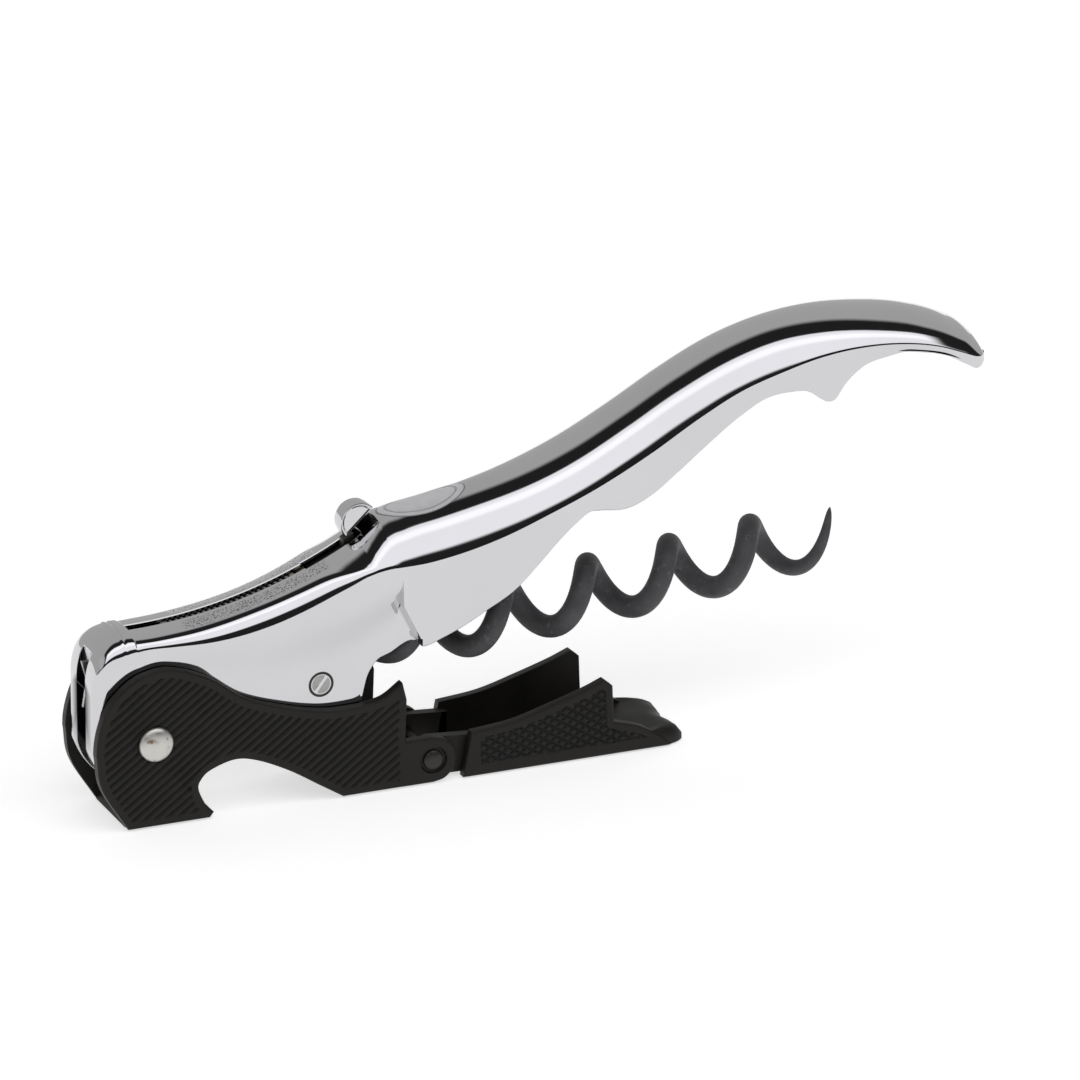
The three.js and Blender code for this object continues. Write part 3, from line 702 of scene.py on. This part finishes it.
# A polygon whose corners are replaced by short arcs: each is a blend a(1-t)^2 + 2bt(1-t) + ct^2.
def roundedOutline(corners, radius, pieces=4):
    corners = np.asarray(corners, float)
    before = np.roll(corners, 1, axis=0) - corners
    after = np.roll(corners, -1, axis=0) - corners
    lengths = [np.linalg.norm(side, axis=1, keepdims=True) for side in (before, after)]
    start = corners + before / lengths[0] * np.minimum(radius, lengths[0] * 0.45)
    end = corners + after / lengths[1] * np.minimum(radius, lengths[1] * 0.45)
    t = np.linspace(0, 1, pieces)[None, :, None]
    return (start[:, None] * (1 - t) ** 2 + 2 * corners[:, None] * t * (1 - t) + end[:, None]
            * t**2).reshape(-1, 2)


armShape = {"inner": 4.4, "outer": 5.59, "edgeRound": 0.22, "webHalf": 4.5,
            "hinge": (33.3, 2.7), "tongueRadius": 2.3, "tongueInner": 3.08, "tongueOuter": 4.28}


# One arm: a grooved plate on each side, the near one finer, and the bars that join them.
def armPiece(name, body, nodes, keys, grooves, webs, nearSpacing, nearRows, farSpacing, farRows):
    parts, edges, grooveShadeAt = [], [], []
    for side, spacing, rows in ((-1, nearSpacing, nearRows), (1, farSpacing, farRows)):
        part, edge, grooveShade = platePart(keys, armShape["inner"], armShape["outer"], side, spacing, rows,
                                       grooves, armShape["edgeRound"])
        parts.append(part)
        edges.append(edge)
        grooveShadeAt.append(grooveShade)
    for part in webs:
        parts.append(part)
        edges.append(np.full(len(part[0]), 0.12))
        grooveShadeAt.append(np.zeros(len(part[0])))
    return makePiece(name, parts, body, nodes, blackSteel, 40,
                     {"edge": np.concatenate(edges), "grooveShade": np.concatenate(grooveShadeAt)})


firstWebs = [
    barPart(roundedOutline([(-3.5, 0.02), (6.4, 0.02), (6.9, 0.6), (6.3, 1.2), (-2, 1.2), (-3, 1)], 0.2),
            -4.5, 4.5),
    barPart(roundedOutline([(22.4, 0.02), (29.4, 0.02), (29.4, 1.2), (21, 1.2)], 0.25), -4.5, 4.5),
]
armPiece("firstArmPlates", "lever_first", ["first_arm"], firstArmKeys, firstGrooves, firstWebs, 0.15, 112,
         0.2, 84)


# The second arm's foot: a plate whose end has two lobes, rounded along its edges.
def footPart():
    y = np.concatenate([[-5.45], -5.45 + 0.3 * (1 - np.cos(np.linspace(0, np.pi / 2, 5)[1:])),
                        np.linspace(-5.0, 5.0, 41),
                        5.45 - 0.3 * (1 - np.cos(np.linspace(np.pi / 2, 0, 5)[:-1])), [5.45]])
    reach = smoothCurve([(-5.5, 61.4), (-5, 63.0), (-4.4, 63.9), (-2.6, 64.15), (0, 63.6), (2.6, 64.15),
                         (4.4, 63.9), (5, 63.0), (5.5, 61.4)], y)
    high = smoothCurve([(0, 1.15), (0.7, 1.2), (0.86, 1.9), (0.94, 2.0), (1, 1.2)], np.linspace(0, 1, 40))
    share = np.linspace(0, 1, 40)
    x = 37.3 + (reach[:, None] - 37.3) * share[None]
    taper = np.where(share > 0.985, 0.55, 1.0)
    top = np.repeat((high * taper)[None], len(y), axis=0)
    bottom = np.full_like(top, 0.02)
    ring = np.concatenate([np.stack([x, np.repeat(y[:, None], 40, axis=1), bottom], axis=-1),
                           np.stack([x, np.repeat(y[:, None], 40, axis=1), top], axis=-1)[:, ::-1]], axis=1)
    count = ring.shape[1]
    return ring.reshape(-1, 3), gridFaces(len(y), count, closeColumns=True), endCaps(len(y), count)


# Two tongues of the second arm on the hinge pin, with a jog out to each wall.
def tongueParts():
    turn = np.linspace(-np.pi / 2, -1.5 * np.pi, 18)
    (hingeX, hingeZ), radius = armShape["hinge"], armShape["tongueRadius"]
    outline = [(hingeX + radius * math.cos(angle), hingeZ + radius * math.sin(angle)) for angle in turn]
    outline += [(38.4, 4.6), (38.4, 0.3)]
    jog = roundedOutline([(36.95, 0.25), (38.35, 0.25), (38.35, 4.6), (37.75, 4.6)], 0.12)
    parts = []
    for side in (-1, 1):
        low, high = sorted((side * armShape["tongueOuter"], side * armShape["tongueInner"]))
        parts.append(barPart(outline, low, high, 4))
        low, high = sorted((side * armShape["webHalf"], side * armShape["tongueInner"]))
        parts.append(barPart(jog, low, high, 4))
    return parts


armPiece("secondArmPlates", "lever_second", ["second_arm"], secondArmKeys, secondGrooves,
         [footPart(), *tongueParts()], 0.11, 84, 0.15, 60)


# Pins and rivets

rivetShape = {"centre": (0, 9.9), "shank": 1.5, "head": 2.04, "high": 0.74, "grip": 5.66}
hingeShape = {"centre": (33.3, 2.7), "shank": 0.87, "head": 1.19, "high": 0.44, "grip": 5.3}
wormPinShape = {"centre": (20.3, 13.4), "radius": 1.19, "half": 4.21, "slotLean": 52, "slotDepth": 0.16,
                "seatInner": 1.2, "seatOuter": 1.5, "seatY": 4.18, "seatThick": 0.035}


# Half a pin: a dome h*sqrt(1-(r/R)^2) flattened a little on top, an undercut, and the shank.
def headedProfile(shank, head, high, grip):
    angle = np.linspace(0, np.pi / 2, 14)
    dome = [(head * math.sin(a), -grip - high * math.cos(a) ** 0.8) for a in angle[:-1]]
    return [*dome, (head, -grip - 0.02), (head - 0.12, -grip), (shank, -grip)]


def pinPart(shape):
    half = headedProfile(shape["shank"], shape["head"], shape["high"], shape["grip"])
    return lathePart([*half, *[(r, -y) for r, y in half[::-1]]], 56, shape["centre"])


makePiece("leverRivetHeads", [pinPart(rivetShape)], "casting", ["lever_rivet"], rivetSteel,
          50)
makePiece("armPinHeads", [pinPart(hingeShape)], "lever_first", ["second_arm_pin"], darkSteel,
          50)


# The worm's pin: flush ends with a rounded rim and a straight slot, as a grid of rings over each end.
def slottedPinPart(shape):
    centre, radius, half = shape["centre"], shape["radius"], shape["half"]
    rings = np.concatenate([np.linspace(0, 0.9, 16), [0.95, 0.985, 1.0]])
    turn = np.linspace(0, 2 * np.pi, 72, endpoint=False)
    x, z = rings[:, None] * np.cos(turn) * radius, rings[:, None] * np.sin(turn) * radius
    lean = math.radians(shape["slotLean"])
    across = -math.sin(lean) * x + math.cos(lean) * z
    slotDepth = shape["slotDepth"] * (1 - smoothStep(0.1, 0.17, np.abs(across)))
    fall = 0.1 * smoothStep(0.88, 1.0, rings)[:, None] ** 2
    faceNear = -half + fall + slotDepth
    faceFar = half - fall - slotDepth
    near = np.stack([centre[0] + x, faceNear, centre[1] + z], axis=-1)
    far = np.stack([centre[0] + x, faceFar, centre[1] + z], axis=-1)[::-1]
    points = np.concatenate([near, far])
    return [(points.reshape(-1, 3), gridFaces(len(points), 72, closeColumns=True), [])]


makePiece("wormPinSlotted", slottedPinPart(wormPinShape), "casting", ["worm_pin"], pinSteel,
          40)


# A thin dark ring in the cheek's face round the worm's pin.
def pinSeatPart(shape, side):
    inner, outer = shape["seatInner"], shape["seatOuter"]
    y, face = side * shape["seatY"], side * (shape["seatY"] + shape["seatThick"])
    part = lathePart([(inner, y), (inner, face), (outer, face), (outer, y)], 64, shape["centre"])
    return part[0], gridFaces(4, 64, closeRows=True, closeColumns=True), []


makePiece("wormPinSeats", [pinSeatPart(wormPinShape, side) for side in (-1, 1)],
          "casting", [], darkSteel, 40)


# Worm

wormShape = {"start": 28.9, "end": 84.1, "lowestAt": 59.1, "pitch": 10.0, "radius": 3.0, "wire": 1.29,
             "midX": 52.0, "midZ": 17.75, "slope": 0.0857}


# The helix: its turn is proportional to X, and its radius grows from 0.4 to 1 of full size over the first
# stretch.
def wormPath(x):
    shape = wormShape
    turn = (x - shape["lowestAt"]) / shape["pitch"] * 2 * np.pi
    rise = np.clip((x - shape["start"]) / 8.5, 0, 1)
    radius = shape["radius"] * (0.4 + 0.6 * np.sin(rise * np.pi / 2))
    middle = shape["midZ"] + (x - shape["midX"]) * shape["slope"]
    return np.stack([x, -radius * np.sin(turn), middle - radius * np.cos(turn)], axis=-1)


def wormParts():
    shape = wormShape
    helix = wormPath(np.linspace(shape["start"], shape["end"], 620))
    first = np.array([21.7, 0.0, 13.5])
    t = np.linspace(0, 1, 24, endpoint=False)[:, None]
    reach = helix[0] - first
    slopeEnd = (helix[1] - helix[0]) / np.linalg.norm(helix[1] - helix[0]) * 9
    slopeStart = np.array([8.0, 0.0, 1.2])
    shank = ((2 * t**3 - 3 * t**2 + 1) * first + (t**3 - 2 * t**2 + t) * slopeStart
             + (3 * t**2 - 2 * t**3) * (first + reach) + (t**3 - t**2) * slopeEnd)
    path = np.concatenate([shank, helix])
    along = path[:, 0]
    thin = np.where(along > 75, np.clip(np.sqrt(np.clip((shape["end"] - along) / 9.1, 0, 1)), 0.1, 1), 1.0)
    thin = np.where(along < 22.2, np.clip(0.55 + (along - 21.7), 0.5, 1), thin)
    tube = tubePart(path, shape["wire"] * thin, 28)
    eye = lathePart([(1.28, -2.3), (1.4, -2.45), (2.2, -2.48), (2.42, -2.35), (2.48, -2.1), (2.48, 2.1),
                     (2.42, 2.35), (2.2, 2.48), (1.4, 2.45), (1.28, 2.3)], 48, wormPinShape["centre"])
    eye = (eye[0], gridFaces(10, 48, closeRows=True, closeColumns=True), [])
    return [tube, eye]


makePiece("wormHelix", wormParts(), "worm_body", ["worm"], nonstick, 60)


# Knife's thumb tab, return spring and badge

tabShape = {"centre": (26.3, 30.75), "radius": 2.28, "arcFrom": 43, "arcTo": 223}


# Half a disc on its chord along the nose. Rings from the middle of one face, over a rounded rim, to the
# middle of the other.
def tabParts():
    arc = np.linspace(math.radians(tabShape["arcFrom"]), math.radians(tabShape["arcTo"]), 40)
    outline = np.array(tabShape["centre"]) + tabShape["radius"] * np.stack([np.cos(arc), np.sin(arc)],
                                                                           axis=1)
    chord = outline[-1] + (outline[0] - outline[-1]) * np.linspace(0, 1, 18)[1:-1, None]
    outline = np.concatenate([outline, chord])
    middle = outline.mean(axis=0) + np.array([-0.1, 0.1])
    shrink = np.array([0, 0.3, 0.55, 0.74, 0.76, 0.8, 0.86, 0.93, 0.98, 1.0, 1.0, 0.98, 0.93, 0.86, 0.8,
                       0.76, 0.74, 0.55, 0.3, 0])
    away = np.array([-0.93, -0.93, -0.93, -0.93, -0.95, -1.02, -1.08, -1.07, -0.96, -0.75, 0.75, 0.96, 1.07,
                     1.08, 1.02, 0.95, 0.93, 0.93, 0.93, 0.93])
    flat = middle + (outline - middle)[None] * shrink[:, None, None]
    points = np.stack([flat[..., 0], np.repeat(away[:, None], len(outline), axis=1), flat[..., 1]],
                      axis=-1).reshape(-1, 3)
    return [(points, gridFaces(len(shrink), len(outline), closeColumns=True), [])]


makePiece("thumbTabDisc", tabParts(), "knife", ["thumb_tab"], chrome, 40, None)


springShape = {"frontX": 2.9, "rearX": 18.8, "turns": 27, "radius": 0.48, "wire": 0.15, "depth": 0.86,
               "closed": 0.27}


# A helix round the knife's track: y = r cos t, z = track - depth + r sin t, with closed end turns.
def springParts():
    shape = springShape
    t = np.linspace(0, 1, 1100)
    wound = np.interp(t, [0, 0.08, 0.92, 1], [0, 0.03, 0.97, 1])
    x = shape["frontX"] + (shape["rearX"] - shape["frontX"]) * wound
    turn = shape["turns"] * 2 * np.pi * t
    path = np.stack([x, shape["radius"] * np.cos(turn),
                     trackTop(x) - shape["depth"] + shape["radius"] * np.sin(turn)], axis=-1)
    return [tubePart(path, np.full(len(t), shape["wire"]), 8)]


springPiece = makePiece("returnSpringCoil", springParts(), "casting", ["return_spring"],
                        springSteel, 60)
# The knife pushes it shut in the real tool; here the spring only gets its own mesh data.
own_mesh(springPiece)

badgeShape = {"x": 34.0, "long": 5.3, "wide": 2.7, "proud": 0.045, "ring": 0.8,
              "plain": (0.78, 0.78, 0.79), "dulled": (0.7, 0.7, 0.71), "oxide": (0.16, 0.16, 0.165)}


# An oval that follows the crown: x = a r cos t, y = b r sin t, lifted a little, with a sunk ring near its
# edge.
def badgeParts():
    rings = np.concatenate([np.linspace(0, 0.8, 18), np.linspace(0.82, 0.94, 10), [0.96, 0.98, 1.0]])
    turn = np.linspace(0, 2 * np.pi, 96, endpoint=False)
    x = badgeShape["x"] + badgeShape["long"] * rings[:, None] * np.cos(turn)
    y = badgeShape["wide"] * rings[:, None] * np.sin(turn)
    sunk = np.exp(-((rings - badgeShape["ring"]) / 0.018) ** 2)
    lift = badgeShape["proud"] * (1 - smoothStep(0.96, 1.0, rings)) - 0.06 * sunk
    top = np.stack([x, y, crownSurface(x, y) + lift[:, None]], axis=-1)
    bottom = np.stack([x, y, crownSurface(x, y) - 0.35], axis=-1)[::-1]
    points = np.concatenate([top, bottom])
    engraved = np.clip(sunk + smoothStep(0.965, 0.985, rings), 0, 1)[:, None] * np.ones_like(turn)
    engraved = np.concatenate([engraved, np.ones_like(engraved)])
    return [(points.reshape(-1, 3), gridFaces(len(points), 96, closeColumns=True), [])], engraved.ravel()


# Satin steel whose sunk ring and rim hold dark oxide: colour = plain steel to oxide by the engraved
# amount.
def badgeMaterial(name):
    material, nodes, links, shader = newMaterial(name)
    shader.inputs["Metallic"].default_value = 0.25
    engraved = readAttribute(nodes, "engraved")
    patches = addNoise(nodes, links, 700, 3)
    plain = addMix(nodes, links, addRange(nodes, links, patches, 0.4, 0.7, 0, 1), badgeShape["plain"],
                   badgeShape["dulled"])
    links.new(addMix(nodes, links, engraved, plain, badgeShape["oxide"]), shader.inputs["Base Color"])
    links.new(addRange(nodes, links, patches, 0.3, 0.8, 0.34, 0.46), shader.inputs["Roughness"])
    addBump(nodes, links, shader, addNoise(nodes, links, 3400, 3), 0.04, 0.00004)
    return material


badgeFaces, engravedValues = badgeParts()
makePiece("badgeOval", badgeFaces, "casting", ["badge_plate"],
          badgeMaterial("satinBadgeSteel"), 40, {"engraved": engravedValues})

# CAD nodes that stay get their finishes
for node, material in (("knife_blade", bladeSteel), ("knife_carrier", darkSteel),
                       ("knife_rivet_front", rivetSteel),
                       ("knife_rivet_rear", rivetSteel), ("spring_seat", seatBrass)):
    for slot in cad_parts[node].material_slots:
        slot.material = material
print("pieces ready")


# Floor, light and camera

studio = {"floorGlow": 0.62, "backGrey": 0.5, "softbox": 1.28, "streak": 0.35, "rim": 0.02}


# A plain pale floor, part of its brightness its own so that shadows on it stay soft.
def addFloor():
    size, count = 4.0, 9
    place = np.linspace(-size / 2, size / 2, count)
    x, y = np.meshgrid(place, place, indexing="ij")
    points = np.stack([x, y, np.full_like(x, -0.0002)], axis=-1).reshape(-1, 3)
    mesh = bpy.data.meshes.new("studioFloor")
    mesh.from_pydata(points, [], gridFaces(count, count)[:, ::-1].tolist())
    floor = bpy.data.objects.new("studioFloor", mesh)
    bpy.context.scene.collection.objects.link(floor)
    material, nodes, links, shader = newMaterial("paleFloor")
    tone = addMix(nodes, links, addNoise(nodes, links, 3, 2), (0.74, 0.74, 0.74), (0.76, 0.76, 0.76))
    links.new(tone, shader.inputs["Base Color"])
    shader.inputs["Roughness"].default_value = 0.9
    shader.inputs["Specular IOR Level"].default_value = 0.1
    shader.inputs["Emission Color"].default_value = (1, 1, 1, 1)
    shader.inputs["Emission Strength"].default_value = studio["floorGlow"]
    mesh.materials.append(material)


def mathNode(nodes, links, operation, first, second=None):
    node = nodes.new("ShaderNodeMath")
    node.operation = operation
    for index, value in enumerate((first, second)):
        if value is None:
            continue
        if isinstance(value, (int, float)):
            node.inputs[index].default_value = value
        else:
            links.new(value, node.inputs[index])
    return node.outputs[0]


# Studio round the object by direction: grey behind, a dark gap overhead, a long soft box towards the
# front, dark below it.
def addStudioSky():
    world = bpy.data.worlds.new("studioSky")
    bpy.context.scene.world = world
    world.use_nodes = True
    nodes, links = world.node_tree.nodes, world.node_tree.links
    nodes.clear()
    place = nodes.new("ShaderNodeTexCoord")
    split = nodes.new("ShaderNodeSeparateXYZ")
    links.new(place.outputs["Generated"], split.inputs[0])
    x, y, z = split.outputs
    angle = mathNode(nodes, links, "ARCTAN2", y, z)

    def ramp(value, low, high):
        node = nodes.new("ShaderNodeMapRange")
        node.interpolation_type = "SMOOTHSTEP"
        node.inputs["From Min"].default_value = low
        node.inputs["From Max"].default_value = high
        links.new(value, node.inputs["Value"])
        return node.outputs["Result"]

    def times(*values):
        result = values[0]
        for value in values[1:]:
            result = mathNode(nodes, links, "MULTIPLY", result, value)
        return result

    def degrees(number):
        return math.radians(number)

    back = times(ramp(angle, degrees(13), degrees(24)), studio["backGrey"])
    boxShape = times(ramp(angle, degrees(-65), degrees(-60)), ramp(angle, degrees(-9), degrees(-12)),
                     ramp(x, -0.56, -0.5), ramp(x, 0.74, 0.64))
    streak = times(ramp(angle, degrees(-34), degrees(-26)), ramp(angle, degrees(-14), degrees(-22)),
                   studio["streak"])
    box = times(boxShape, mathNode(nodes, links, "ADD", streak, studio["softbox"]))
    left = times(ramp(x, -0.62, -0.75), ramp(z, 0.0, 0.3), 0.55)
    total = mathNode(nodes, links, "MAXIMUM", back, box)
    total = mathNode(nodes, links, "MAXIMUM", total, left)
    total = mathNode(nodes, links, "ADD", total, studio["rim"])
    tint = nodes.new("ShaderNodeMix")
    tint.data_type = "RGBA"
    links.new(boxShape, tint.inputs["Factor"])
    colours = [s for s in tint.inputs if s.type == "RGBA"]
    colours[0].default_value = (1, 1, 1, 1)
    colours[1].default_value = (0.97, 0.965, 1.0, 1)
    background = nodes.new("ShaderNodeBackground")
    links.new([s for s in tint.outputs if s.type == "RGBA"][0], background.inputs["Color"])
    links.new(total, background.inputs["Strength"])
    output = nodes.new("ShaderNodeOutputWorld")
    links.new(background.outputs[0], output.inputs["Surface"])


cameraShape = {"azimuth": -22.6, "elevation": 21.3, "distance": 1.35, "target": (48.5, 0.0, 24.95),
               "across": 1080 / 8.9}   # target and the frame's width in mm


# Looks at the middle of the object from its left front, slightly above, from far enough to keep its lines
# parallel.
def addCamera():
    azimuth, elevation = math.radians(cameraShape["azimuth"]), math.radians(cameraShape["elevation"])
    distance, target = cameraShape["distance"], np.array(cameraShape["target"]) * mm
    toCamera = np.array([math.sin(azimuth) * math.cos(elevation), -math.cos(azimuth) * math.cos(elevation),
                         math.sin(elevation)])
    data = bpy.data.cameras.new("camera")
    data.sensor_fit = "HORIZONTAL"
    data.sensor_width = 36
    data.lens = 36 * distance / (cameraShape["across"] * mm)
    data.clip_start, data.clip_end = 0.05, 20
    camera = bpy.data.objects.new("camera", data)
    bpy.context.scene.collection.objects.link(camera)
    camera.location = target + toCamera * distance
    camera.rotation_euler = (math.pi / 2 - elevation, 0, azimuth)
    bpy.context.scene.camera = camera


addFloor()
addStudioSky()
addCamera()
bpy.context.scene.view_settings.view_transform = "Standard"
print("stage ready")
